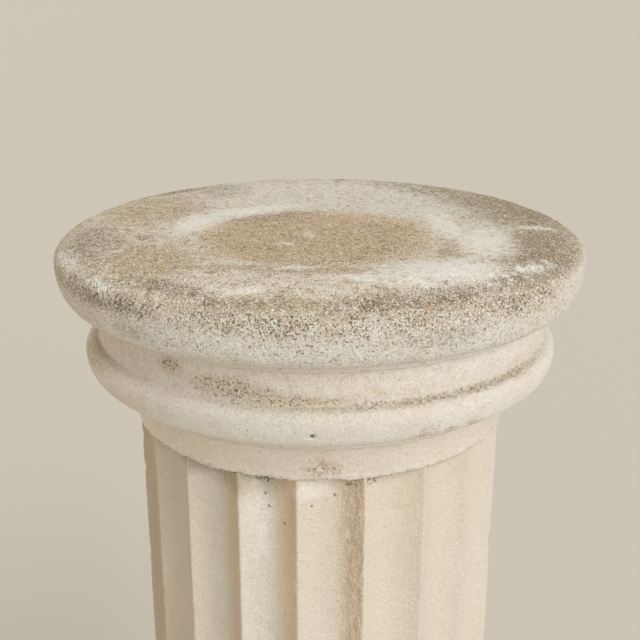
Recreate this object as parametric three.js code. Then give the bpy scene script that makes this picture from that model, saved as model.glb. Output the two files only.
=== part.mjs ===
import * as THREE from 'three';
import { mergeVertices } from 'three/addons/utils/BufferGeometryUtils.js';

// A weathered cast-stone Doric column, used as a pedestal, in millimetres.
// It stands on z = 0 with its axis on Z. Three castings are bedded on each
// other: a base, a fluted shaft and a round capital with a flat top.

// Whole column
const columnHeight = 950;
const bedJoint = 0.3;          // open joint between two castings

// Shaft, measured on the sharp edges between the flutes
const shaftFootRadius = 144.2;
const shaftHeadRadius = 143.5;
const fluteCount = 20;
const fluteDepth = 9;
const arrisWidth = 1.6;        // worn flat on each edge between two flutes
const fluteTurn = 12.6;        // first edge, in degrees from +X

// Capital, from the joint upwards: necking, listel, echinus, band, fillet, abacus
const neckLedge = 1.5;         // how far the necking stands out over the shaft
const neckFlare = 8;
const neckHollow = 1.2;        // how far the necking curves inwards
const neckHeight = 27.6;
const listelStep = 1.3;
const listelHeight = 7.6;
const echinusReach = 27.8;
const echinusDrop = 23.2;      // rounded underside of the echinus
const echinusFullness = 2.2;
const echinusShoulder = 10;
const echinusRise = 8.4;       // rounded upper shoulder of the echinus
const bandHeight = 23.5;
const filletStep = 3.4;
const filletHeight = 5.9;
const abacusReach = 24.5;
const abacusDrop = 32;         // rounded lower half of the abacus
const abacusFullness = 2.3;
const abacusRise = 20.4;       // rounded upper half of the abacus
const abacusShoulder = 48.4;

// Base, from the joint downwards: cavetto, fillet, torus, plinth
const footLedge = 3.5;
const cavettoReach = 12;
const cavettoHeight = 16;
const baseFilletHeight = 9;
const torusInset = 5;          // the fillet stands this far out of the torus hollow
const torusReach = 21;
const torusHeight = 46;
const torusFullness = 2.1;
const plinthReach = 14;
const plinthHeight = 54;
const plinthRound = 7;

// Fineness of the facets
const sidesAround = 64;
const arcSteps = 6;
const tightArcSteps = 4;
const fluteSteps = 10;

const capitalHeight = neckHeight + listelHeight + echinusDrop + echinusRise
  + bandHeight + filletHeight + abacusDrop + abacusRise;
const baseHeight = cavettoHeight + baseFilletHeight + torusHeight + plinthHeight;
const shaftLength = columnHeight - capitalHeight - baseHeight - 2 * bedJoint;

const stone = (color) => new THREE.MeshStandardMaterial({ color, roughness: 0.92, metalness: 0 });

// Quarter of a rounded moulding about a centre, from one angle to another.
// A fullness of 2 is an ellipse, and more is squarer.
function roundedQuarter(centreR, centreZ, width, height, fullness, fromDeg, toDeg, steps) {
  const points = [];
  for (let i = 0; i <= steps; i += 1) {
    const angle = THREE.MathUtils.degToRad(fromDeg + (toDeg - fromDeg) * i / steps);
    const across = Math.abs(Math.cos(angle)) ** (2 / fullness) * Math.sign(Math.cos(angle));
    const along = Math.abs(Math.sin(angle)) ** (2 / fullness) * Math.sign(Math.sin(angle));
    points.push(new THREE.Vector2(centreR + width * across, centreZ + height * along));
  }
  return points;
}

// Hollow curve between two points, bowed towards the axis
function hollowCurve(from, to, bow, steps) {
  const points = [];
  for (let i = 0; i <= steps; i += 1) {
    const point = from.clone().lerp(to, i / steps);
    point.x -= bow * Math.sin(Math.PI * i / steps);
    points.push(point);
  }
  return points;
}

// Drops a point that repeats the one before it, so that no facet has no area
function withoutRepeats(points) {
  return points.filter((point, i) => i === 0 || point.distanceTo(points[i - 1]) > 1e-6);
}

// Body of revolution about Z, from a closed profile that starts and ends on the axis
function turned(points) {
  const geometry = new THREE.LatheGeometry(withoutRepeats(points), sidesAround);
  geometry.rotateX(Math.PI / 2);
  return joined(geometry);
}

// One closed skin, with the corners that touching facets share merged
function joined(geometry) {
  geometry.deleteAttribute('normal');
  geometry.deleteAttribute('uv');
  const skin = mergeVertices(geometry, 1e-4);
  skin.computeVertexNormals();
  return skin;
}

function capitalGeometry() {
  const neckFoot = shaftHeadRadius + neckLedge;
  const neckHead = neckFoot + neckFlare;
  const listel = neckHead + listelStep;
  const echinus = listel + echinusReach;
  const band = echinus - echinusShoulder;
  const fillet = band + filletStep;
  const abacus = fillet + abacusReach;

  const neckTop = neckHeight;
  const listelTop = neckTop + listelHeight;
  const echinusEquator = listelTop + echinusDrop;
  const bandFoot = echinusEquator + echinusRise;
  const bandTop = bandFoot + bandHeight;
  const filletTop = bandTop + filletHeight;
  const abacusEquator = filletTop + abacusDrop;

  const profile = [new THREE.Vector2(0, 0)];
  const neckLow = new THREE.Vector2(neckFoot, 0);
  const neckHigh = new THREE.Vector2(neckHead, neckTop);
  profile.push(...hollowCurve(neckLow, neckHigh, neckHollow, tightArcSteps));
  profile.push(new THREE.Vector2(listel, neckTop));
  profile.push(new THREE.Vector2(listel, listelTop));
  profile.push(...roundedQuarter(listel, echinusEquator, echinusReach, echinusDrop,
    echinusFullness, -90, 0, arcSteps));
  profile.push(...roundedQuarter(band, echinusEquator, echinusShoulder, echinusRise,
    2, 0, 90, tightArcSteps));
  profile.push(new THREE.Vector2(band, bandTop));
  profile.push(new THREE.Vector2(fillet, bandTop));
  profile.push(new THREE.Vector2(fillet, filletTop));
  profile.push(...roundedQuarter(fillet, abacusEquator, abacusReach, abacusDrop,
    abacusFullness, -90, 0, arcSteps));
  profile.push(...roundedQuarter(abacus - abacusShoulder, abacusEquator, abacusShoulder,
    abacusRise, 2, 0, 90, arcSteps));
  profile.push(new THREE.Vector2(0, capitalHeight));
  return turned(profile);
}

// Section of the shaft: shallow arcs between narrow worn edges
function flutedSection(radius) {
  const pitch = 2 * Math.PI / fluteCount;
  const halfArris = arrisWidth / 2 / radius;
  const halfChord = radius * Math.sin(pitch / 2 - halfArris);
  const chordMiddle = radius * Math.cos(pitch / 2 - halfArris);
  const sag = fluteDepth - (radius - chordMiddle);
  const arcRadius = (halfChord ** 2 + sag ** 2) / (2 * sag);
  const arcCentre = radius - fluteDepth + arcRadius;
  const reach = Math.asin(halfChord / arcRadius);
  const outline = [];
  for (let i = 0; i < fluteCount; i += 1) {
    const middle = THREE.MathUtils.degToRad(fluteTurn) + (i + 0.5) * pitch;
    for (let k = 0; k <= fluteSteps; k += 1) {
      const turn = reach * (2 * k / fluteSteps - 1);
      const point = new THREE.Vector2(arcCentre - arcRadius * Math.cos(turn), arcRadius * Math.sin(turn));
      outline.push(point.rotateAround(new THREE.Vector2(), middle));
    }
  }
  return new THREE.Shape(outline);
}

function shaftGeometry() {
  const geometry = new THREE.ExtrudeGeometry(flutedSection(shaftFootRadius), {
    depth: shaftLength,
    steps: 1,
    bevelEnabled: false,
  });
  const corners = geometry.getAttribute('position');
  for (let i = 0; i < corners.count; i += 1) {
    const up = corners.getZ(i) / shaftLength;
    const radiusHere = shaftFootRadius + (shaftHeadRadius - shaftFootRadius) * up;
    const narrowing = radiusHere / shaftFootRadius;
    corners.setXY(i, corners.getX(i) * narrowing, corners.getY(i) * narrowing);
  }
  return joined(geometry);
}

function baseGeometry() {
  const cavettoHead = shaftFootRadius + footLedge;
  const fillet = cavettoHead + cavettoReach;
  const torusFoot = fillet - torusInset;
  const torus = torusFoot + torusReach;
  const plinth = torus + plinthReach;

  const torusBottom = plinthHeight;
  const torusEquator = torusBottom + torusHeight / 2;
  const filletFoot = torusBottom + torusHeight;
  const cavettoFoot = filletFoot + baseFilletHeight;

  const profile = [new THREE.Vector2(0, 0)];
  profile.push(...roundedQuarter(plinth - plinthRound, plinthRound, plinthRound, plinthRound,
    2, -90, 0, tightArcSteps));
  profile.push(...roundedQuarter(plinth - plinthRound, plinthHeight - plinthRound,
    plinthRound, plinthRound, 2, 0, 90, tightArcSteps));
  profile.push(...roundedQuarter(torusFoot, torusEquator, torusReach, torusHeight / 2,
    torusFullness, -90, 90, 2 * arcSteps));
  profile.push(new THREE.Vector2(fillet, filletFoot));
  profile.push(new THREE.Vector2(fillet, cavettoFoot));
  profile.push(...roundedQuarter(fillet, baseHeight, fillet - cavettoHead, cavettoHeight,
    2, 270, 180, tightArcSteps));
  profile.push(new THREE.Vector2(0, baseHeight));
  return turned(profile);
}

function named(name, geometry, material, height) {
  const mesh = new THREE.Mesh(geometry, material);
  mesh.name = name;
  mesh.position.z = height;
  return mesh;
}

const column = new THREE.Group();
column.add(named('base', baseGeometry(), stone(0xcdbfa6), 0));
column.add(named('fluted_shaft', shaftGeometry(), stone(0xdccdb4), baseHeight + bedJoint));
column.add(named('capital', capitalGeometry(), stone(0xd6cbb6),
  baseHeight + shaftLength + 2 * bedJoint));

export default column;
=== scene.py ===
import math
import bpy
import numpy as np
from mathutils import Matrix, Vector


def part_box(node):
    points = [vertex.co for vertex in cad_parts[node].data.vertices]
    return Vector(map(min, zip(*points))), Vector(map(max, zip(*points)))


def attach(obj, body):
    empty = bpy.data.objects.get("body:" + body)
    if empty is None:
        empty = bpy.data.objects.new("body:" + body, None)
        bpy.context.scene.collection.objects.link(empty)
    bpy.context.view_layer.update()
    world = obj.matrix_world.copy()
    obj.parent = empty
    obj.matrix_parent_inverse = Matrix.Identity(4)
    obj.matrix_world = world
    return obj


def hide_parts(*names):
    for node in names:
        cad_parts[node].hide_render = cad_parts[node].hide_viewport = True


# Looks of a weathered cast-stone Doric column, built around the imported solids.
# Metres, +Z up, and the viewer of the photograph stands on the -Y side.
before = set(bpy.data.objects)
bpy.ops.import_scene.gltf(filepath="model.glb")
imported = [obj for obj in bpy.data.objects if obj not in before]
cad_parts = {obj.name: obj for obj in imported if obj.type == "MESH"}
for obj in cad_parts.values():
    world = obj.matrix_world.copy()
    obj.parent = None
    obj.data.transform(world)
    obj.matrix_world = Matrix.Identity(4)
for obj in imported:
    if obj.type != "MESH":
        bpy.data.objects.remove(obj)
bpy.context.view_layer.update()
mm = 0.001

capitalLow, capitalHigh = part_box("capital")
shaftLow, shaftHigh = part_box("fluted_shaft")
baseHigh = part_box("base")[1]
topZ = capitalHigh.z
print("frame loaded, column height", round(topZ, 4))


# shape helpers
def latticeNoise(points, grain, seed):
    # smooth noise from -1 to 1 whose lumps are about one grain across
    place = np.asarray(points, float) / grain + 1000.0
    cell = np.floor(place).astype(np.int64)
    part = place - cell
    part = part * part * (3 - 2 * part)
    total = np.zeros(len(place))
    for corner in range(8):
        step = np.array([corner & 1, corner >> 1 & 1, corner >> 2 & 1])
        weight = np.prod(np.where(step == 1, part, 1 - part), axis=1)
        at = cell + step
        mixed = (at[:, 0] * 73856093) ^ (at[:, 1] * 19349663) ^ (at[:, 2] * 83492791) ^ (seed * 7919)
        mixed = (mixed ^ (mixed >> 13)) * 1274126177 & 0x7FFFFFFF
        mixed = (mixed ^ (mixed >> 15)) % 4093
        total += weight * (mixed / 2046.0 - 1)
    return total


def smoothStep(value, low, high):
    share = np.clip((value - low) / (high - low), 0, 1)
    return share * share * (3 - 2 * share)


def quarter(centreR, centreZ, width, height, fullness, fromDeg, toDeg, steps=24):
    # a rounded moulding about a centre; fullness 2 is an ellipse, more is squarer
    angle = np.radians(np.linspace(fromDeg, toDeg, steps + 1))
    across = np.sign(np.cos(angle)) * np.abs(np.cos(angle)) ** (2 / fullness)
    along = np.sign(np.sin(angle)) * np.abs(np.sin(angle)) ** (2 / fullness)
    return [(centreR + width * a, centreZ + height * b) for a, b in zip(across, along)]


def wornProfile(points, wear, count, density):
    # rounds every corner as weather does, then spaces count rings by density(r, z)
    points = np.array(points, float)
    run = np.r_[0, np.cumsum(np.hypot(*np.diff(points, axis=0).T))]
    fine = 0.2 * mm
    steps = np.arange(0, run[-1], fine)
    line = np.stack([np.interp(steps, run, points[:, 0]), np.interp(steps, run, points[:, 1])], 1)
    half = int(4 * wear / fine)
    weights = np.exp(-0.5 * (np.arange(-half, half + 1) * fine / wear) ** 2)
    weights /= weights.sum()
    before = 2 * line[0] - line[half:0:-1]
    after = 2 * line[-1] - line[-2:-half - 2:-1]
    padded = np.concatenate([before, line, after])
    line = np.stack([np.convolve(padded[:, k], weights, "valid") for k in (0, 1)], 1)
    line[0, 0] = line[-1, 0] = 0
    crowd = np.cumsum(density(line[:, 0], line[:, 1]))
    picks = np.interp(np.linspace(crowd[0], crowd[-1], count), crowd, np.arange(len(line)))
    order = np.arange(len(line))
    return np.stack([np.interp(picks, order, line[:, 0]), np.interp(picks, order, line[:, 1])], 1)


def ringFaces(rings, around):
    # quads between neighbouring rings, with a fan to the single point at each end
    side = np.arange(around)
    following = (side + 1) % around
    low = 1 + np.arange(rings - 1)[:, None] * around
    high = low + around
    quads = np.stack([low + side, low + following, high + following, high + side], -1)
    lowFan = np.stack([np.zeros(around, int), 1 + following, 1 + side], -1)
    topRing = 1 + (rings - 1) * around
    highFan = np.stack([np.full(around, topRing + around), topRing + side, topRing + following], -1)
    return quads.reshape(-1, 4).tolist() + lowFan.tolist() + highFan.tolist()


def solidOfRings(name, points, rings, around):
    # one closed mesh of the rings, with a first and a last point on the axis
    mesh = bpy.data.meshes.new(name)
    mesh.from_pydata(points.tolist(), [], ringFaces(rings, around))
    mesh.validate()
    mesh.shade_smooth()
    piece = bpy.data.objects.new(name, mesh)
    bpy.context.scene.collection.objects.link(piece)
    return piece


def turnedStone(name, profile, around, carve):
    # turns a profile round Z, then moves each point along its normal by carve(points, r, z, angle)
    profile = np.asarray(profile)
    slope = np.gradient(profile, axis=0)
    normal = np.stack([slope[:, 1], -slope[:, 0]], 1)
    normal /= np.linalg.norm(normal, axis=1)[:, None]
    inner = profile[1:-1]
    angle = np.linspace(0, 2 * math.pi, around, endpoint=False)
    radius = np.repeat(inner[:, 0], around)
    height = np.repeat(inner[:, 1], around)
    outR = np.repeat(normal[1:-1, 0], around)
    outZ = np.repeat(normal[1:-1, 1], around)
    turn = np.tile(angle, len(inner))
    points = np.stack([radius * np.cos(turn), radius * np.sin(turn), height], 1)
    push, drop = carve(points, radius, height, turn)
    points[:, 0] += outR * push * np.cos(turn)
    points[:, 1] += outR * push * np.sin(turn)
    points[:, 2] += outZ * push + drop
    ends = np.array([[0, 0, profile[0, 1]], [0, 0, profile[-1, 1]]])
    points = np.concatenate([ends[:1], points, ends[1:]])
    return solidOfRings(name, points, len(inner), around)


# wear of every casting, in millimetres: layers of noise are (depth, size of its lumps, seed)
castWear = {
    "broad": [(0.45, 62, 1), (0.3, 24, 2)], "broadShare": 0.6,
    "grainy": [(0.22, 9, 3), (0.16, 4.2, 4)],
    "pitSize": 6.5, "pitDepth": 0.8,
}


def layered(points, layers):
    return sum(depth * latticeNoise(points, size * mm, seed) for depth, size, seed in layers)


def stoneWear(points, rough=1.0):
    # uneven casting, soft wear and small pits, mostly inwards from the moulded face
    w = castWear
    broad = layered(points, w["broad"])
    grainy = layered(points, w["grainy"])
    pits = smoothStep(latticeNoise(points, w["pitSize"] * mm, 5), 0.62, 0.9)
    return (w["broadShare"] * (broad - 0.25) + rough * (grainy - 0.1) - rough * w["pitDepth"] * pits) * mm


def frontAngle(turn):
    # degrees from the viewer's side, growing to the viewer's right
    return (np.degrees(turn) + 90 + 180) % 360 - 180


def dent(angle, height, where):
    # how deep in a soft round dent, 0 to 1: where is its angle, height, width and tallness
    atAngle, atHeight, wide, tall = where
    return np.exp(-((angle - atAngle) / wide) ** 2 - ((height - atHeight) / tall) ** 2)


# capital: millimetres, but no unit for a curve's fullness and the counts of points and rings
capitalShape = {
    "neckFoot": 145.0, "neckFlare": 8.0, "neckHollow": 1.2, "neckHeight": 27.6,
    "listelStep": 1.3, "listelHeight": 7.6,
    "echinusReach": 27.8, "echinusDrop": 23.2, "echinusFullness": 2.4,
    "echinusShoulder": 10.0, "echinusRise": 8.4,
    "bandHeight": 23.5, "filletStep": 3.4, "filletHeight": 5.9,
    "abacusReach": 24.5, "abacusDrop": 32.0, "abacusFullness": 2.5,
    "abacusRise": 20.4, "abacusShoulder": 48.4,
    "edgeWear": 0.9, "around": 560, "rings": 172,
    "topRelief": 0.35, "shoulderWear": 0.8, "shoulderPits": 0.5, "filletChips": 1.6,
    "holeDepth": 4.0, "holeDrop": 8.5, "holeHeight": 1.0,
    "holeAngle": -1.5, "holeWidth": 0.5,    # degrees
    "raggedDrop": 0.45, "raggedPush": 0.6,
    "mostSwell": 0.4,               # how far the wear may stand out over the moulded face
}


def makeCapital():
    s = {key: value * mm for key, value in capitalShape.items()}
    full = capitalShape["echinusFullness"], capitalShape["abacusFullness"]
    foot = capitalLow.z
    neckTop = foot + s["neckHeight"]
    listelTop = neckTop + s["listelHeight"]
    echinusMid = listelTop + s["echinusDrop"]
    bandFoot = echinusMid + s["echinusRise"]
    bandTop = bandFoot + s["bandHeight"]
    filletTop = bandTop + s["filletHeight"]
    abacusMid = filletTop + s["abacusDrop"]
    neckHead = s["neckFoot"] + s["neckFlare"]
    listel = neckHead + s["listelStep"]
    band = listel + s["echinusReach"] - s["echinusShoulder"]
    fillet = band + s["filletStep"]
    flat = fillet + s["abacusReach"] - s["abacusShoulder"]

    line = [(0, foot)]
    for k in range(9):
        share = k / 8
        hollow = s["neckHollow"] * math.sin(math.pi * share)
        line.append((s["neckFoot"] + s["neckFlare"] * share - hollow, foot + s["neckHeight"] * share))
    line += [(listel, neckTop), (listel, listelTop)]
    line += quarter(listel, echinusMid, s["echinusReach"], s["echinusDrop"], full[0], -90, 0)
    line += quarter(band, echinusMid, s["echinusShoulder"], s["echinusRise"], 2, 0, 90)
    line += [(band, bandTop), (fillet, bandTop), (fillet, filletTop)]
    line += quarter(fillet, abacusMid, s["abacusReach"], s["abacusDrop"], full[1], -90, 0)
    line += quarter(flat, abacusMid, s["abacusShoulder"], s["abacusRise"], 2, 0, 90)
    line.append((0, topZ))

    def density(r, z):
        bed = (z < foot + 0.3 * mm) & (r < s["neckFoot"] - 6 * mm)
        flatTop = (z > topZ - 0.3 * mm) & (r < flat)
        return np.where(bed, 0.12, np.where(flatTop, 0.45, 1.0))

    def carve(points, r, z, turn):
        push = stoneWear(points)
        onTop = smoothStep(z, topZ - 16 * mm, topZ - 6 * mm)
        push += onTop * s["topRelief"] * (latticeNoise(points, 7 * mm, 11) - 0.6)
        shoulder = smoothStep(z, topZ - 24 * mm, topZ - 12 * mm) * smoothStep(r, flat, flat + 20 * mm)
        push -= shoulder * s["shoulderWear"] * smoothStep(latticeNoise(points, 8 * mm, 12), 0.1, 0.8)
        push -= shoulder * s["shoulderPits"] * smoothStep(latticeNoise(points, 3.6 * mm, 13), 0.2, 0.7)
        # chips on the fillet
        thin = smoothStep(np.abs(z - (bandTop + filletTop) / 2), 5 * mm, 2 * mm)
        push -= thin * s["filletChips"] * smoothStep(latticeNoise(points, 15 * mm, 14), 0.25, 0.8)
        # one clean hole low on the echinus
        hole = (capitalShape["holeAngle"], echinusMid - s["holeDrop"],
                capitalShape["holeWidth"], s["holeHeight"])
        push -= s["holeDepth"] * dent(frontAngle(turn), z, hole)
        # ragged lower edge of the necking, with crumbs of old bedding
        edge = smoothStep(z, foot + 6 * mm, foot)
        edge = edge * smoothStep(r, s["neckFoot"] - 3 * mm, s["neckFoot"] - 1 * mm)
        level = points * [1, 1, 0]
        ragged = 0.7 * latticeNoise(level, 9 * mm, 15) + 0.8 * latticeNoise(level, 3.4 * mm, 16)
        push += edge * s["raggedPush"] * np.clip(ragged, -0.9, 1.2)
        drop = -edge * s["raggedDrop"] * (0.45 + ragged)
        bed = (z < foot + 0.3 * mm) & (r < s["neckFoot"] - 4 * mm)
        push = np.where(bed, 0, push)
        outermost = (r > fillet + s["abacusReach"] - 1.5 * mm) | (z > topZ - 1.5 * mm)
        return np.minimum(push, np.where(outermost, 0, s["mostSwell"])), np.where(bed, 0, drop)

    profile = wornProfile(line, s["edgeWear"], capitalShape["rings"], density)
    return turnedStone("capital_stone", profile, capitalShape["around"], carve), band


# shaft: millimetres, and an arris is the narrow edge between two flutes
shaftShape = {
    "footRadius": 144.2, "headRadius": 143.5, "flutes": 20, "fluteDepth": 9.0,
    "arrisWidth": 1.6, "arrisWear": 0.45,
    "firstArris": 12.6,             # degrees from +X
    "samplesPerFlute": 25, "rows": 190,
    # degrees that single arrises stray, by their place counted from the front left
    "drift": {
        0: -0.1, 1: -0.4, 3: -0.9, 4: -0.2, 5: 0.5, 6: 0.4,
        9: -0.5, 12: 0.4, 15: -0.3, 17: 0.5,
    },
    "frontLeft": 9,                 # arrises from the first one back to the front left
    "swell": 0.3, "longRipple": 0.35, "nickDepth": 0.9, "arrisWander": 0.1, "streakDepth": 0.7,
    "roughStreak": (6.0, 12.4),     # from and to, in degrees from the front
}


def fluteRadius(share, radius):
    # distance from the axis at a share of the way from one arris to the next
    pitch = 2 * math.pi / shaftShape["flutes"]
    half = shaftShape["arrisWidth"] * mm / 2 / radius
    depth = shaftShape["fluteDepth"] * mm
    halfChord = radius * math.sin(pitch / 2 - half)
    chordMiddle = radius * math.cos(pitch / 2 - half)
    sag = depth - (radius - chordMiddle)
    arc = (halfChord ** 2 + sag ** 2) / (2 * sag)
    centre = radius - depth + arc
    turn = (share - 0.5) * pitch
    inside = np.maximum(arc ** 2 - (centre * np.sin(turn)) ** 2, 0)
    hollow = centre * np.cos(turn) - np.sqrt(inside)
    return np.minimum(hollow, radius)


def wornFlute():
    # one flute at the head of the shaft, blurred along the edge so that each arris is worn
    # round: shares of the way across, and distances from the axis
    s = shaftShape
    fine = 720
    share = np.arange(fine) / fine
    section = fluteRadius(share, s["headRadius"] * mm)
    wide = s["arrisWear"] / (2 * math.pi * s["headRadius"] / s["flutes"]) * fine
    offsets = np.arange(-int(4 * wide), int(4 * wide) + 1)
    weights = np.exp(-0.5 * (offsets / wide) ** 2)
    weights /= weights.sum()
    return share, sum(weight * np.roll(section, offset) for weight, offset in zip(weights, offsets))


def fluteRing(firstFront, pitch):
    # all flutes once round: degrees from the front, distances from the axis, and how near each
    # point is to an arris, as a share of a flute
    s = shaftShape
    share, section = wornFlute()
    even = np.arange(s["samplesPerFlute"]) / s["samplesPerFlute"]
    crowded = even - 0.11 * np.sin(2 * math.pi * even)      # more points near the arrises
    strays = [s["drift"].get(k % s["flutes"], 0.0) for k in range(s["flutes"] + 1)]
    front, shape, nearEdge = [], [], []
    for k in range(s["flutes"]):
        start = firstFront + k * pitch + strays[k]
        end = firstFront + (k + 1) * pitch + strays[k + 1]
        front += list(start + (end - start) * crowded)
        shape += list(np.interp(crowded, share, section))
        nearEdge += list(np.minimum(crowded, 1 - crowded))
    return np.array(front), np.array(shape), np.array(nearEdge)


def makeShaft():
    s = shaftShape
    pitch = 360.0 / s["flutes"]
    firstFront = s["firstArris"] + 90 - s["frontLeft"] * pitch
    front, shape, nearEdge = fluteRing(firstFront, pitch)
    around = len(front)
    # rows crowd towards the head, which the photograph shows
    up = np.linspace(0, 1, s["rows"])
    up = 1 - (1 - up) * (0.45 + 0.55 * (1 - up))
    z = shaftLow.z + (shaftHigh.z - shaftLow.z) * up
    rows = len(z)
    taper = (s["footRadius"] + (s["headRadius"] - s["footRadius"]) * up) / s["headRadius"]
    angle = np.tile(front, rows)
    height = np.repeat(z, around)
    radius = np.tile(shape, rows) * np.repeat(taper, around)
    edge = np.tile(nearEdge, rows) * math.radians(pitch) * s["headRadius"] * mm   # metres from the arris
    turn = np.radians(angle - 90)
    points = np.stack([radius * np.cos(turn), radius * np.sin(turn), height], 1)
    push = stoneWear(points, 0.8) + s["swell"] * mm
    push += s["longRipple"] * mm * latticeNoise(points * [1, 1, 0.25], 12 * mm, 21)
    # nicks and a slow wander along each arris, each from a line of noise of its own
    atEdge = smoothStep(edge, 4.2 * mm, 0.4 * mm)
    noiseLine = np.round((angle - firstFront) / pitch) * 0.37
    along = np.stack([noiseLine, np.zeros(len(angle)), height], 1)
    nick = latticeNoise(along, 13 * mm, 22) + 0.6 * latticeNoise(along, 5 * mm, 23)
    wander = 1 + latticeNoise(along, 30 * mm, 24)
    push -= atEdge * mm * (s["nickDepth"] * smoothStep(nick, 0.6, 1.3) + s["arrisWander"] * wander)
    # a rough streak down the front
    streakFrom, streakTo = s["roughStreak"]
    streak = smoothStep(angle, streakFrom - 1, streakFrom + 1.5)
    streak = streak * smoothStep(angle, streakTo + 0.5, streakTo - 0.5)
    rough = smoothStep(latticeNoise(points * [1, 1, 0.4], 3.4 * mm, 25), -0.1, 0.7)
    push -= streak * s["streakDepth"] * mm * rough
    points[:, 0] += push * np.cos(turn)
    points[:, 1] += push * np.sin(turn)
    ends = np.array([[0, 0, shaftLow.z], [0, 0, shaftHigh.z]])
    points = np.concatenate([ends[:1], points, ends[1:]])
    return solidOfRings("shaft_stone", points, rows, around)


# base: millimetres, but no unit for a curve's fullness and the counts of points and rings
baseShape = {
    "footLedge": 3.5, "cavettoReach": 12.0, "cavettoHeight": 16.0, "filletHeight": 9.0,
    "torusInset": 5.0, "torusReach": 21.0, "torusHeight": 46.0, "torusFullness": 2.1,
    "plinthReach": 14.0, "plinthHeight": 54.0, "plinthRound": 7.0,
    "edgeWear": 1.1, "around": 560, "rings": 160,
    "cornerChips": 3.4, "footChips": 2.2,
}


def makeBase():
    s = {key: value * mm for key, value in baseShape.items()}
    head = shaftShape["footRadius"] * mm + s["footLedge"]
    fillet = head + s["cavettoReach"]
    torusFoot = fillet - s["torusInset"]
    plinth = torusFoot + s["torusReach"] + s["plinthReach"]
    rounding = s["plinthRound"]
    torusMid = s["plinthHeight"] + s["torusHeight"] / 2
    filletFoot = s["plinthHeight"] + s["torusHeight"]
    cavettoFoot = filletFoot + s["filletHeight"]
    line = [(0, 0)]
    line += quarter(plinth - rounding, rounding, rounding, rounding, 2, -90, 0)
    line += quarter(plinth - rounding, s["plinthHeight"] - rounding, rounding, rounding, 2, 0, 90)
    line += quarter(torusFoot, torusMid, s["torusReach"], s["torusHeight"] / 2,
                    baseShape["torusFullness"], -90, 90, 40)
    line += [(fillet, filletFoot), (fillet, cavettoFoot)]
    line += quarter(fillet, baseHigh.z, s["cavettoReach"], s["cavettoHeight"], 2, 270, 180)
    line.append((0, baseHigh.z))

    def density(r, z):
        under = (z < 0.3 * mm) & (r < plinth - 14 * mm)
        bed = (z > baseHigh.z - 0.3 * mm) & (r < head - 16 * mm)
        return np.where(under | bed, 0.12, 1.0)

    def carve(points, r, z, turn):
        push = stoneWear(points, 1.15)
        corner = smoothStep(z, s["plinthHeight"] - 9 * mm, s["plinthHeight"] - 2 * mm)
        corner = corner * smoothStep(r, plinth - 12 * mm, plinth - 4 * mm)
        foot = smoothStep(z, 9 * mm, 3 * mm)
        chips = smoothStep(latticeNoise(points, 21 * mm, 31), 0.35, 0.9)
        push -= (corner * s["cornerChips"] + foot * s["footChips"]) * chips
        flatFace = (z < 0.3 * mm) | ((z > baseHigh.z - 0.3 * mm) & (r < head - 8 * mm))
        return np.where(flatFace, 0, push), np.zeros(len(r))

    profile = wornProfile(line, s["edgeWear"], baseShape["rings"], density)
    return turnedStone("base_stone", profile, baseShape["around"], carve)


capital, bandRadius = makeCapital()
print("capital", len(capital.data.vertices), "points")
shaft = makeShaft()
print("shaft", len(shaft.data.vertices), "points")
base = makeBase()
print("base", len(base.data.vertices), "points")

for piece, node, slotName in (
    (capital, "capital", "capital_stone"),
    (shaft, "fluted_shaft", "shaft_stone"),
    (base, "base", "base_stone"),
):
    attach(piece, "root")
    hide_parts(node)


# shader helpers
def hue(red, green, blue):
    # a colour as seen on screen, 0 to 255, in the shader's linear values
    def linear(value):
        value /= 255
        return value / 12.92 if value <= 0.04045 else ((value + 0.055) / 1.055) ** 2.4
    return (linear(red), linear(green), linear(blue), 1.0)


class Wire:
    # a shader socket that arithmetic works on
    def __init__(self, tree, socket):
        self.tree = tree
        self.socket = socket

    def add(self, kind, settings, inputs, output=0):
        # any node: its type, its settings, and the values or links of its sockets
        node = self.tree.nodes.new("ShaderNode" + kind)
        for name, value in settings.items():
            setattr(node, name, value)
        for key, value in inputs.items():
            if isinstance(value, Wire):
                self.tree.links.new(value.socket, node.inputs[key])
            else:
                node.inputs[key].default_value = value
        return Wire(self.tree, node.outputs[output]) if node.outputs else None

    def math(self, operation, *values):
        return self.add("Math", {"operation": operation}, dict(enumerate(values)))

    def __add__(self, other):
        return self.math("ADD", self, other)

    def __radd__(self, other):
        return self.math("ADD", other, self)

    def __sub__(self, other):
        return self.math("SUBTRACT", self, other)

    def __rsub__(self, other):
        return self.math("SUBTRACT", other, self)

    def __mul__(self, other):
        return self.math("MULTIPLY", self, other)

    def __rmul__(self, other):
        return self.math("MULTIPLY", other, self)

    def most(self, other):
        return self.math("MAXIMUM", self, other)

    def least(self, other):
        return self.math("MINIMUM", self, other)

    def away(self, value):
        # how far this is from a value, either way
        gap = self - value
        return gap.math("ABSOLUTE", gap)

    def between(self, start, full, last, end):
        # rises from start to full, stays, and falls again from last to end
        return self.rise(start, full) * self.rise(end, last)

    def rise(self, low, high):
        # 0 below low and 1 above high, or the other way round where low is above high
        return self.add("MapRange", {"interpolation_type": "SMOOTHSTEP"},
                        {"Value": self, "From Min": low, "From Max": high})

    def tint(self, colour, share):
        return self.add("Mix", {"data_type": "RGBA"}, {0: share, 6: self, 7: colour}, 2)


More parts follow.
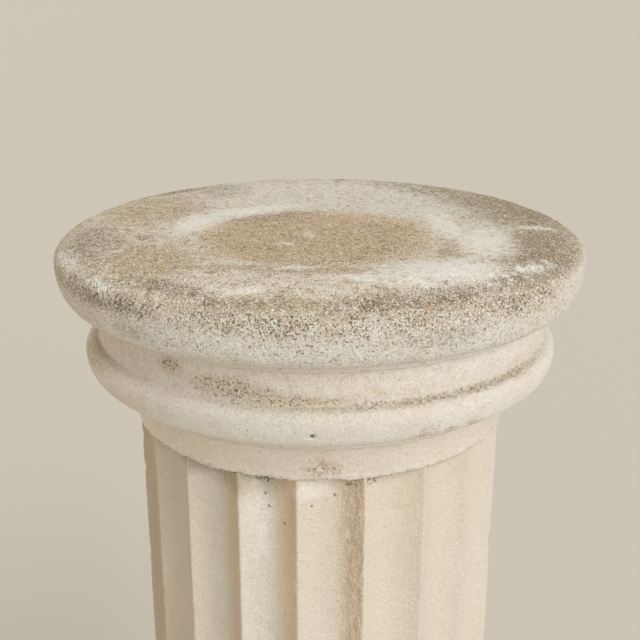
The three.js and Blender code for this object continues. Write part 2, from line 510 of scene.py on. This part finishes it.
class Stone:
    # a material, with the places and patterns that a stone finish is mixed from
    def __init__(self, name):
        self.material = bpy.data.materials.new(name)
        self.material.use_nodes = True
        self.tree = self.material.node_tree
        self.tree.nodes.clear()
        start = self.tree.nodes.new("ShaderNodeTexCoord")
        self.place = Wire(self.tree, start.outputs["Object"])
        parts = self.tree.nodes.new("ShaderNodeSeparateXYZ")
        self.tree.links.new(start.outputs["Object"], parts.inputs[0])
        self.x, self.y, self.z = [Wire(self.tree, parts.outputs[k]) for k in range(3)]

    def frontDegrees(self):
        # degrees from the viewer's side, growing to the viewer's right
        return self.x.math("ARCTAN2", self.x, 0 - self.y) * math.degrees(1)

    def flat(self):
        # flat coordinates for marks on the top: to the right, and away
        return self.place.add("CombineXYZ", {}, {0: self.x, 1: self.y})

    def noise(self, size, detail=3.0, rough=0.55, stretch=(1, 1, 1), shift=0.0):
        # about 0 to 1, with lumps about size millimetres across
        spot = self.place.add("Mapping", {"vector_type": "POINT"},
                              {"Vector": self.place, "Location": (shift, shift, shift), "Scale": stretch})
        fac = self.place.add("TexNoise", {}, {"Vector": spot, "Scale": 1 / (size * mm),
                                              "Detail": detail, "Roughness": rough})
        return fac.add("MapRange", {"clamp": False}, {"Value": fac, "From Min": 0.28, "From Max": 0.72})

    def flecks(self, size, share, shift=0.0, soft=0.1):
        # irregular grains: a share of 0.1 leaves few of them and 0.5 covers half of the stone
        return (self.noise(size, 1.5, 0.6, shift=shift) + share).rise(1 - soft, 1 + soft)

    def blend(self, one, other, share):
        return self.place.add("Mix", {"data_type": "RGBA"}, {0: share, 6: one, 7: other}, 2)

    def wrap(self, front, radius, below):
        # flat coordinates for marks on the sides: round to the right of the front, and up
        roundwards = front * (radius * math.radians(1))
        return self.place.add("CombineXYZ", {}, {0: roundwards, 1: 0 - below * mm})

    def reach(self, spot, mark):
        # how far away an oval mark (x, y, reach along x, reach along y, turn) is: 1 is its edge
        x, y, wide, tall, turn = mark
        inputs = {"Vector": spot, "Location": (x * mm, y * mm, 0), "Rotation": (0, 0, math.radians(turn)),
                  "Scale": (wide * mm, tall * mm, 1)}
        inside = self.place.add("Mapping", {"vector_type": "TEXTURE"}, inputs)
        return inside.add("VectorMath", {"operation": "LENGTH"}, {0: inside}, 1)

    def patches(self, spot, marks, soft, ragged, breakup):
        # oval marks, 0 to 1: soft is how wide their edges fade, and a pattern breaks the
        # edges up by ragged, both as a share of each mark's reach
        nearest = self.reach(spot, marks[0])
        for mark in marks[1:]:
            nearest = nearest.least(self.reach(spot, mark))
        return (nearest + (breakup - 0.5) * ragged).rise(1 + soft, 1 - soft)

    def finish(self, colour, roughness, height, depth):
        # dull stone, with a height pattern that is depth millimetres deep
        bump = height.add("Bump", {}, {"Height": height, "Strength": 1.0, "Distance": depth * mm})
        shader = colour.add("BsdfPrincipled", {}, {
            "Base Color": colour, "Roughness": roughness, "Normal": bump, "Specular IOR Level": 0.25,
        })
        shader.add("OutputMaterial", {}, {0: shader})
        return self.material


tones = {
    "cream": hue(222, 221, 216), "warmCream": hue(223, 217, 208), "white": hue(241, 240, 233),
    "shaftCream": hue(217, 212, 200), "shaftWarm": hue(219, 208, 192), "dim": hue(201, 192, 178),
    "bone": hue(226, 221, 207), "sand": hue(211, 197, 172), "tan": hue(191, 166, 131),
    "clay": hue(216, 182, 142), "peach": hue(224, 207, 186), "blush": hue(238, 226, 209),
    "rust": hue(176, 132, 92), "brown": hue(150, 129, 103), "grey": hue(172, 161, 142),
    "olive": hue(146, 134, 101), "moss": hue(108, 98, 72), "soot": hue(84, 76, 58),
    "stain": hue(206, 179, 145), "stainRim": hue(222, 195, 167),
}

# marks on the flat top, in millimetres: x to the right, y away, reach along each, turn in degrees
topMarks = {
    "stain": [(-3, -55, 83, 83, 0)],
    "stainHeart": [(-6, -58, 70, 72, 0)],
    "pale": [
        (0, 85, 98, 64, 0), (70, 38, 56, 32, -20), (116, -56, 19, 52, 0), (76, -138, 50, 20, 20),
        (-80, 4, 26, 44, -35),
    ],
    "white": [
        (-92, -14, 13, 30, -20), (-58, 28, 34, 12, 30), (94, -24, 11, 36, 4), (82, -142, 37, 20, 14),
        (114, -74, 15, 34, -8), (160, -27, 16, 5, 8), (140, -118, 17, 6, 42),
        (-14, -137, 15, 4, 6), (30, -158, 20, 5, 0), (-44, -174, 11, 4, 0),
        (-8, -50, 4, 9, 10), (-25, -76, 7, 4, 0),
    ],
    "olive": [
        (150, 45, 46, 105, 16), (158, -54, 21, 50, -16), (20, 172, 9, 18, 0), (100, 112, 62, 26, -38),
        (-80, 108, 20, 26, 0), (-126, 106, 42, 9, 38),
    ],
    "grey": [
        (136, -127, 56, 17, 42), (63, -174, 50, 7, 20), (-160, -66, 19, 36, 14), (-125, -58, 6, 8, 0),
        (-94, -160, 40, 6, -31),
    ],
    "brown": [
        (160, -92, 26, 54, -30), (166, 26, 20, 60, 14), (115, -144, 52, 8, 39), (-34, -187, 50, 5, -6),
        (34, -187, 44, 6, 8),
    ],
    "tan": [
        (-128, 36, 36, 60, -14), (-112, -112, 26, 36, 40), (-20, -142, 90, 9, -4), (88, -96, 8, 28, -14),
        (120, -116, 26, 6, 30),
    ],
    "stainEdge": [(-38, 8, 42, 12, 28)],
}

# marks on the capital's side: millimetres round the band to the right of the front, and up
# from the top, so that they are negative
capitalMarks = {
    "rimWhite": [(-196, -11.5, 20, 4, 0), (-140, -13.5, 13, 3.2, 0)],
    "rimBrown": [(-175, -20, 26, 5, 0), (-128, -22, 36, 4, 5), (80, -14, 56, 6, 0)],
    "moss": [(-52, -75, 33, 8, -5), (-104, -66, 11, 6, 0), (-16, -79, 36, 4, 0)],
    "olive": [(-112, -37, 17, 6, 0), (-200, -86, 34, 6, 0), (66, -30, 24, 7, 0)],
    "rust": [(70, -103, 8, 6, 20), (87, -105, 5, 4, 0), (106, -105, 7, 4, 0), (2, -138, 13, 9, 0)],
    "hole": [(-4.8, -98.7, 1.3, 0.8, -25)],
}

# where dirt and painted shade gather on the capital, in millimetres below the top
capitalCorners = {
    "filletTop": 52.6, "filletFoot": 58.6, "crease": 81.6, "listelTop": 113.4, "listelFoot": 121.2,
}


class CapitalStone(Stone):
    # the places and patterns that the parts of the capital's finish share
    def __init__(self):
        super().__init__("capital_cast_stone")
        self.front = self.frontDegrees()
        self.plan = self.flat()
        self.radius = self.plan.add("VectorMath", {"operation": "LENGTH"}, {0: self.plan}, 1) * (1 / mm)
        self.below = (topZ - self.z) * (1 / mm)
        self.onTop = self.below.rise(21, 10)
        self.broad = self.noise(90, 3)
        self.middle = self.noise(24, 4, 0.6, shift=3.0)
        self.small = self.noise(7, 4, 0.65, shift=5.0)
        self.grit = self.noise(2.6, 3, 0.7, shift=11.0).rise(0.15, 0.85)
        self.ragged = self.middle * 0.5 + self.small * 0.5
        self.wrapped = self.wrap(self.front, bandRadius, self.below)


def capitalSides(stone):
    # cream with sandy clouds and clay, whiter at the left and on the undersides as painted light, with
    # the clay over the left as painted warm shade and stain
    front, below, corner = stone.front, stone.below, capitalCorners
    middle, small, grit = stone.middle, stone.small, stone.grit
    colour = stone.blend(tones["cream"], tones["warmCream"], stone.broad.rise(0.25, 0.85))
    colour = colour.tint(tones["sand"], middle.rise(0.5, 1.1) * 0.4)
    leftSide = front.between(-170, -120, -72, -32)
    # painted light: the undersides and the shaded left side are tinted white
    under = below.between(32, 46, 62, 76).most(below.between(95, 106, 124, 142))
    colour = colour.tint(tones["white"], (under * 0.9).most(leftSide * 0.9))
    # painted warm shade, partly stain: a clay tint over the shaded left side
    leftShadeAndStain = 0.16 + 0.34 * middle + 0.12 * below.rise(40, 56)
    colour = colour.tint(tones["clay"], leftSide * leftShadeAndStain)
    sheltered = below.between(40, 50, 62, 76) * (0.45 + 0.35 * front.rise(40, -20))
    colour = colour.tint(tones["clay"], sheltered * 0.26)
    neck = below.rise(112, 122)
    colour = colour.tint(tones["peach"], neck * (0.15 + 0.3 * middle))
    # blush lightens the neck, and more at the left as painted light where the echinus shades it
    colour = colour.tint(tones["blush"], neck * (0.3 + 0.6 * front.between(-170, -120, -44, 0)))

    # brown in the corners of the fillet and the listel, partly dirt and partly painted shade
    corners = below.away(corner["filletTop"]).rise(1.8, 0.2) * 0.5
    corners = corners.most(below.away(corner["filletFoot"]).rise(1.4, 0.2) * 0.3)
    corners = corners.most(below.away(corner["listelTop"]).rise(2.0, 0.4))
    corners = corners.most(below.away(corner["listelFoot"]).rise(1.3, 0.2) * 0.3)
    colour = colour.tint(tones["brown"], corners * (0.3 + 0.5 * stone.ragged))

    # painted light makes the lip of the abacus whiter at the front; at the left the crease gets a thin
    # line of painted shade, with a painted highlight along the band's lower edge above it
    lip = below.between(12, 22, 46, 54)
    # painted light: a white tint on the lip of the abacus at the front
    frontLipLight = front.between(-62, -36, 130, 170) * 0.3 + front.between(-56, -36, -22, 4) * 0.7
    colour = colour.tint(tones["white"], lip * frontLipLight)
    band = below.between(58, 62, 84, 94)
    colour = colour.tint(tones["tan"], (lip + band) * small.rise(0.45, 1.0) * 0.35)
    # painted shade: a thin brown line in the crease at the left
    creaseLine = below.away(corner["crease"]).rise(2.0, 0.3) * leftSide
    # painted highlight: a bone line along the lower edge of the band at the left
    colour = colour.tint(tones["bone"], below.between(76, 78.5, 79, 81) * leftSide * 0.45)
    colour = colour.tint(tones["dim"], (1 - grit) * 0.35)
    colour = colour.tint(tones["brown"], creaseLine * 0.45)
    return colour, lip


def capitalTop(stone):
    # sandy and pale towards the back, with a round stain; also gives the white bloom and how
    # many dark grains there are
    plan, ragged = stone.plan, stone.ragged
    middle, small, grit = stone.middle, stone.small, stone.grit
    clumps = stone.noise(6.0, 4, 0.72, shift=15.0)
    top = stone.blend(tones["sand"], tones["bone"], ragged.rise(0.3, 0.9))
    tan = stone.patches(plan, topMarks["tan"], 0.5, 1.0, ragged)
    top = top.tint(tones["tan"], tan * (0.3 + 0.45 * small + 0.3 * grit))
    olive = stone.patches(plan, topMarks["olive"], 0.5, 1.0, ragged)
    top = top.tint(tones["olive"], olive * (0.2 + 0.5 * small + 0.45 * grit))
    grey = stone.patches(plan, topMarks["grey"], 0.5, 1.2, ragged)
    top = top.tint(tones["grey"], grey * (0.3 + 0.5 * grit))
    pale = stone.patches(plan, topMarks["pale"], 0.4, 0.9, ragged)
    brown = stone.patches(plan, topMarks["brown"], 0.6, 1.2, ragged)
    top = top.tint(tones["brown"], brown * (0.4 + 0.5 * grit))
    top = top.tint(tones["cream"], pale * (0.5 + 0.4 * grit) * clumps.rise(0.12, 0.6))
    stain = stone.patches(plan, topMarks["stain"], 0.06, 0.14, ragged)
    heart = stone.patches(plan, topMarks["stainHeart"], 0.12, 0.2, ragged)
    stainTone = stone.blend(tones["stainRim"], tones["stain"], heart)
    nearFade = stone.y.rise(-95 * mm, -150 * mm)
    top = top.tint(stainTone, stain * (0.95 - 0.5 * nearFade))
    top = top.tint(tones["tan"], heart * middle.rise(0.35, 0.9) * 0.5)
    stainEdge = stone.patches(plan, topMarks["stainEdge"], 0.7, 0.8, ragged)
    top = top.tint(tones["brown"], stainEdge * stain * 0.6)

    # pale rim at the front, dark and pale clumps of lichen, and white bloom
    rim = stone.radius.between(146, 158, 172, 182) * stone.front.between(-28, -14, 8, 24)
    top = top.tint(tones["bone"], rim * (0.2 + 0.5 * small))
    top = top.tint(tones["brown"], clumps.rise(0.48, 0.12) * (0.8 - 0.45 * pale))
    top = top.tint(tones["bone"], clumps.rise(0.55, 0.9) * 0.75 * (1 - 0.5 * stain))
    white = stone.patches(plan, topMarks["white"], 0.7, 1.9, small)
    top = top.tint(tones["white"], white * (0.4 + 0.6 * grit) * (1 - 0.4 * heart))
    mottle = 0.26 + 0.14 * olive + 0.18 * grey + 0.1 * stain + 0.08 * tan - 0.1 * pale - 0.18 * white
    return top, white, mottle * stone.onTop


def capitalDirt(stone, colour, lip):
    # on the shoulder, in the crease of the echinus and in patches; also gives how many dark
    # grains there are
    front, below, wrapped, ragged = stone.front, stone.below, stone.wrapped, stone.ragged
    middle, small, grit = stone.middle, stone.small, stone.grit
    shoulder = below.between(9, 15, 20, 38) * (1 - 0.7 * front.between(46, 60, 130, 170))
    shoulder = shoulder * (0.45 + 0.7 * middle)
    waving = below - 2 * (middle - 0.5)
    crease = waving.away(capitalCorners["crease"]).rise(3.3, 0.4) * front.between(-40, 26, 44, 84)
    moss = stone.patches(wrapped, capitalMarks["moss"], 0.6, 1.1, ragged)
    rimBrown = stone.patches(wrapped, capitalMarks["rimBrown"], 0.5, 1.2, ragged)
    oliveSide = stone.patches(wrapped, capitalMarks["olive"], 0.5, 1.1, ragged)
    rust = stone.patches(wrapped, capitalMarks["rust"], 0.5, 1.5, small)
    neckFoot = below.rise(143, 148)
    colour = colour.tint(tones["sand"], shoulder * (0.7 - 0.4 * grit))
    olives = (crease * 0.8).most(moss * 0.6).most(oliveSide * 0.5).most(shoulder * 0.25)
    colour = colour.tint(tones["olive"], olives * (1 - 0.8 * grit))
    colour = colour.tint(tones["sand"], moss * 0.6)
    colour = colour.tint(tones["brown"], rimBrown * (0.32 - 0.24 * grit))
    colour = colour.tint(tones["rust"], rust * (0.45 - 0.4 * grit))
    rimWhite = stone.patches(wrapped, capitalMarks["rimWhite"], 0.5, 1.4, small)
    colour = colour.tint(tones["white"], rimWhite)
    dirt = (shoulder * 0.47).most(crease * 0.26).most(moss * 0.34).most(rimBrown * 0.32)
    dirt = dirt.most(oliveSide * 0.22).most(rust * 0.2).most(neckFoot * 0.2).most(lip * 0.2) - 0.04
    return colour, dirt


def capitalFinish():
    # this shader is almost as large as Cycles can hold: one mark more can turn it black
    stone = CapitalStone()
    colour, lip = capitalSides(stone)
    top, white, mottle = capitalTop(stone)
    colour = colour.tint(top, stone.onTop)
    colour, dirt = capitalDirt(stone, colour, lip)

    # sand grains, strong on the weathered top and faint on the sheltered faces
    weathered = stone.onTop.most(stone.below.rise(54, 24))
    weathered = weathered.most(stone.below.between(56, 62, 82, 94) * 0.4)
    darkGrains = stone.flecks(1.2, dirt.most(mottle), 1.0)
    coarseGrains = stone.flecks(1.9, dirt * 0.8, 2.0)
    paleGrains = stone.flecks(1.5, 0.32, 4.0)
    warmGrains = stone.flecks(2.0, 0.32, 6.0)
    colour = colour.tint(tones["white"], paleGrains * (0.12 + 0.6 * weathered) * (1 - 0.5 * white))
    colour = colour.tint(tones["tan"], warmGrains * (0.08 + 0.35 * weathered) * (1 - 0.7 * white))
    colour = colour.tint(tones["moss"], darkGrains * 0.75)
    colour = colour.tint(tones["soot"], coarseGrains * 0.7)
    # painted shade: the inside of the clean hole is tinted soot dark
    hole = stone.patches(stone.wrapped, capitalMarks["hole"], 0.3, 0.3, stone.small)
    colour = colour.tint(tones["soot"], hole * 0.85)

    pits = stone.flecks(1.2, 0.18, 1.0)
    fine = stone.noise(1.5, 3, 0.7, shift=7.0)
    height = fine * 0.35 + stone.grit * 0.5 + stone.small * 0.4 + paleGrains * 0.3 - pits * 0.4
    return stone.finish(colour, 0.86 + 0.1 * stone.small, height * (0.5 + 0.5 * weathered), 0.6)


# marks on the shaft: millimetres round to the right of the front, and up from its head
shaftMarks = {
    "green": [(-98, -2, 26, 9, 0), (-66, -4, 20, 13, 0), (-38, -3, 13, 16, 0)],
    "white": [(-5, -8, 13, 9, 0), (-44, -24, 9, 40, 0)],
    "crumbs": [
        (-42, -5.5, 7, 3, 0), (22, -5, 6, 5, 0), (40, -3, 10, 4.5, 0), (-78, -1, 20, 2.5, 0),
        (92, 0, 8, 3, 0),
    ],
    "spots": [
        (-26, -38, 1.1, 1.4, 0), (-6, -23, 1.0, 1.0, 0), (-41, -17, 1.1, 1.1, 0),
        (-38, -27, 1.6, 1.0, -40), (11, -16, 1.1, 1.3, 0),
    ],
}


def shaftFinish():
    stone = Stone("shaft_cast_stone")
    front = stone.frontDegrees()
    below = (shaftHigh.z - stone.z) * (1 / mm)
    broad = stone.noise(110, 3, stretch=(1, 1, 0.45))
    streaks = stone.noise(16, 4, 0.6, stretch=(1, 1, 0.09), shift=3.0)
    middle = stone.noise(24, 4, 0.6, shift=5.0)
    small = stone.noise(6, 4, 0.65, shift=7.0)
    fine = stone.noise(1.4, 3, 0.7, shift=9.0)
    grit = stone.noise(2.4, 3, 0.7, shift=11.0).rise(0.15, 0.85)
    runs = stone.noise(3.0, 3, 0.65, stretch=(1, 1, 0.32), shift=13.0).rise(0.1, 0.9)
    ragged = middle * 0.5 + small * 0.5
    wrapped = stone.wrap(front, shaftShape["headRadius"] * mm, below)

    # cream with peach runs, and a tan round the left that is partly stain and partly painted shade
    colour = stone.blend(tones["shaftCream"], tones["shaftWarm"], broad.rise(0.2, 0.75))
    colour = colour.tint(tones["peach"], streaks.rise(0.45, 1.0) * 0.45)
    colour = colour.tint(tones["sand"], middle.rise(0.5, 1.1) * 0.3)
    # painted shade and stain: tan over the shaded left of the shaft
    stainAndShade = (front + 30 * (broad - 0.5)).between(-150, -92, -66, -40)
    colour = colour.tint(tones["tan"], stainAndShade * (0.45 + 0.4 * streaks))

    # painted shade, partly brown stain: the wall of each flute that is turned from the light gets a clay
    # tint
    pitch = 360 / shaftShape["flutes"]
    stray = front.between(-22, -10, -3, 6) * shaftShape["drift"][3]
    fromArris = front - stray - shaftShape["firstArris"] + (2 * 360 - 90)   # never negative
    turns = fromArris * (1 / pitch)
    share = turns.math("FRACT", turns)
    wallShadeAndStain = share.between(0.5, 0.86, 0.95, 1.0) * front.between(-150, -100, 5, 35)
    colour = colour.tint(tones["clay"], wallShadeAndStain * (0.35 + 0.45 * streaks))

    # white and green patches, the rough streak, and dirt towards the foot
    white = stone.patches(wrapped, shaftMarks["white"], 0.6, 1.1, ragged)
    colour = colour.tint(tones["white"], white * 0.6)
    green = stone.patches(wrapped, shaftMarks["green"], 0.6, 0.9, ragged)
    colour = colour.tint(tones["olive"], green * 0.55)
    streakFrom, streakTo = shaftShape["roughStreak"]
    streak = front.between(streakFrom - 2.5, streakFrom + 4.5, streakTo - 0.6, streakTo + 0.4)
    leftHalf = front.rise(streakTo - 1.5, streakFrom + 1)
    colour = colour.tint(tones["rust"], streak * runs * leftHalf * 0.5)
    colour = colour.tint(tones["brown"], streak * runs * (0.5 - 0.35 * grit))
    colour = colour.tint(tones["dim"], (1 - grit) * 0.35 + (1 - runs) * 0.15)
    footDirt = below.rise(430, 660) * (0.3 + 0.7 * broad)
    colour = colour.tint(tones["tan"], footDirt * 0.4)

    # crumbs under the joint, single dark spots, and sand grains
    crumbs = stone.patches(wrapped, shaftMarks["crumbs"], 0.5, 1.2, small)
    dirt = (crumbs * 0.45).most(streak * 0.14).most(green * 0.16).most(below.rise(5, 0) * 0.18) - 0.03
    darkGrains = stone.flecks(1.3, dirt, 1.0)
    paleGrains = stone.flecks(1.5, 0.3, 4.0)
    spots = stone.patches(wrapped, shaftMarks["spots"], 0.4, 0.6, small)
    colour = colour.tint(tones["white"], paleGrains * 0.16)
    colour = colour.tint(tones["moss"], darkGrains * 0.7)
    colour = colour.tint(tones["soot"], spots.most(crumbs * darkGrains) * 0.6)
    pits = stone.flecks(1.3, 0.04, 1.0)
    height = fine * 0.35 + grit * 0.5 + small * 0.3 - pits * 0.5 - streak * runs * 1.2
    return stone.finish(colour, 0.86 + 0.1 * small, height, 0.42)


def baseFinish():
    stone = Stone("base_cast_stone")
    up = stone.z * (1 / mm)
    broad = stone.noise(90, 3)
    middle = stone.noise(24, 4, 0.6, shift=3.0)
    small = stone.noise(7, 4, 0.65, shift=5.0)
    fine = stone.noise(1.5, 3, 0.7, shift=7.0)
    grit = stone.noise(2.6, 3, 0.7, shift=11.0).rise(0.15, 0.85)
    colour = stone.blend(tones["shaftCream"], tones["shaftWarm"], broad.rise(0.2, 0.8))
    colour = colour.tint(tones["sand"], middle.rise(0.4, 1.0) * 0.4 + (1 - grit) * 0.3)

    # damp at the foot, and dirt on the ledges over the plinth and the torus
    plinthLedge = baseShape["plinthHeight"] + 1
    torusLedge = baseShape["plinthHeight"] + baseShape["torusHeight"] + 1
    damp = up.rise(46, 2) * (0.35 + 0.65 * middle)
    ledge = up.away(plinthLedge).rise(6, 1).most(up.away(torusLedge).rise(4, 1))
    ledge = ledge * (0.3 + 0.7 * middle)
    colour = colour.tint(tones["tan"], damp * 0.6)
    colour = colour.tint(tones["olive"], ledge * (0.3 + 0.4 * small))
    darkGrains = stone.flecks(1.3, (ledge * 0.3).most(damp * 0.26).most(0.04), 1.0)
    paleGrains = stone.flecks(1.5, 0.3, 4.0)
    colour = colour.tint(tones["white"], paleGrains * 0.3)
    colour = colour.tint(tones["moss"], darkGrains * 0.7)
    pits = stone.flecks(1.3, 0.1, 1.0)
    height = fine * 0.35 + grit * 0.5 + small * 0.4 + paleGrains * 0.2 - pits * 0.4
    return stone.finish(colour, 0.86 + 0.1 * small, height, 0.5)


for piece, material in ((capital, capitalFinish()), (shaft, shaftFinish()), (base, baseFinish())):
    piece.data.materials.append(material)
print("stone finishes done")


# floor, light and camera: metres, degrees, and directions from the column to each sun
stageSetting = {
    "floorHalf": 90.0, "floorTone": hue(205, 200, 189), "floorRoughness": 0.9,
    "sunTone": (1.0, 0.995, 0.98),
    "keyStrength": 2.0, "keyAngle": 42.0, "keyFrom": (0.557, -0.663, 0.5),
    "backStrength": 0.4, "backAngle": 25.0, "backFrom": (-0.72, 0.6, 0.34),
    "fillStrength": 0.62, "fillTone": (1.0, 0.955, 0.9, 1.0), "leftTone": (1.0, 0.9, 0.75, 1.0),
}


def makeStage():
    s = stageSetting
    half = s["floorHalf"]
    corners = [(-half, -half, 0), (half, -half, 0), (half, half, 0), (-half, half, 0)]
    mesh = bpy.data.meshes.new("floor")
    mesh.from_pydata(corners, [], [(0, 1, 2, 3)])
    floor = bpy.data.objects.new("floor", mesh)
    bpy.context.scene.collection.objects.link(floor)
    material = bpy.data.materials.new("floor_paint")
    material.use_nodes = True
    shader = material.node_tree.nodes["Principled BSDF"]
    shader.inputs["Base Color"].default_value = s["floorTone"]
    shader.inputs["Roughness"].default_value = s["floorRoughness"]
    mesh.materials.append(material)
    for name in ("key", "back"):
        light = bpy.data.lights.new(name, "SUN")
        light.energy = s[name + "Strength"]
        light.angle = math.radians(s[name + "Angle"])
        light.color = s["sunTone"]
        lamp = bpy.data.objects.new(name, light)
        lamp.rotation_mode = "QUATERNION"
        lamp.rotation_quaternion = Vector(s[name + "From"]).to_track_quat("Z", "Y")
        bpy.context.scene.collection.objects.link(lamp)
    # soft light from all round, warmer from the left
    world = bpy.data.worlds.new("soft_room")
    world.use_nodes = True
    sky = world.node_tree.nodes["Background"]
    around = world.node_tree.nodes.new("ShaderNodeTexCoord")
    toward = Wire(world.node_tree, around.outputs["Generated"])
    left = toward.add("VectorMath", {"operation": "DOT_PRODUCT"}, {0: toward, 1: (-1, 0, 0)}, 1)
    tone = left.add("Mix", {"data_type": "RGBA"}, {0: left, 6: s["fillTone"], 7: s["leftTone"]}, 2)
    world.node_tree.links.new(tone.socket, sky.inputs[0])
    sky.inputs[1].default_value = s["fillStrength"]
    bpy.context.scene.world = world
    bpy.context.scene.view_settings.view_transform = "Standard"


# the camera's place: millimetres from the axis and above the top, and degrees down
viewpoint = {"back": 751.6, "above": 173.4, "down": 18.8, "lens": 56.25, "sensor": 36, "farthest": 400}


def makeCamera():
    camera = bpy.data.objects.new("camera", bpy.data.cameras.new("camera"))
    camera.data.sensor_width = viewpoint["sensor"]
    camera.data.lens = viewpoint["lens"]
    camera.data.clip_end = viewpoint["farthest"]
    camera.location = (0, -viewpoint["back"] * mm, topZ + viewpoint["above"] * mm)
    camera.rotation_euler = (math.radians(90 - viewpoint["down"]), 0, 0)
    bpy.context.scene.collection.objects.link(camera)
    bpy.context.scene.camera = camera


makeStage()
makeCamera()
print("floor, lights and camera done")
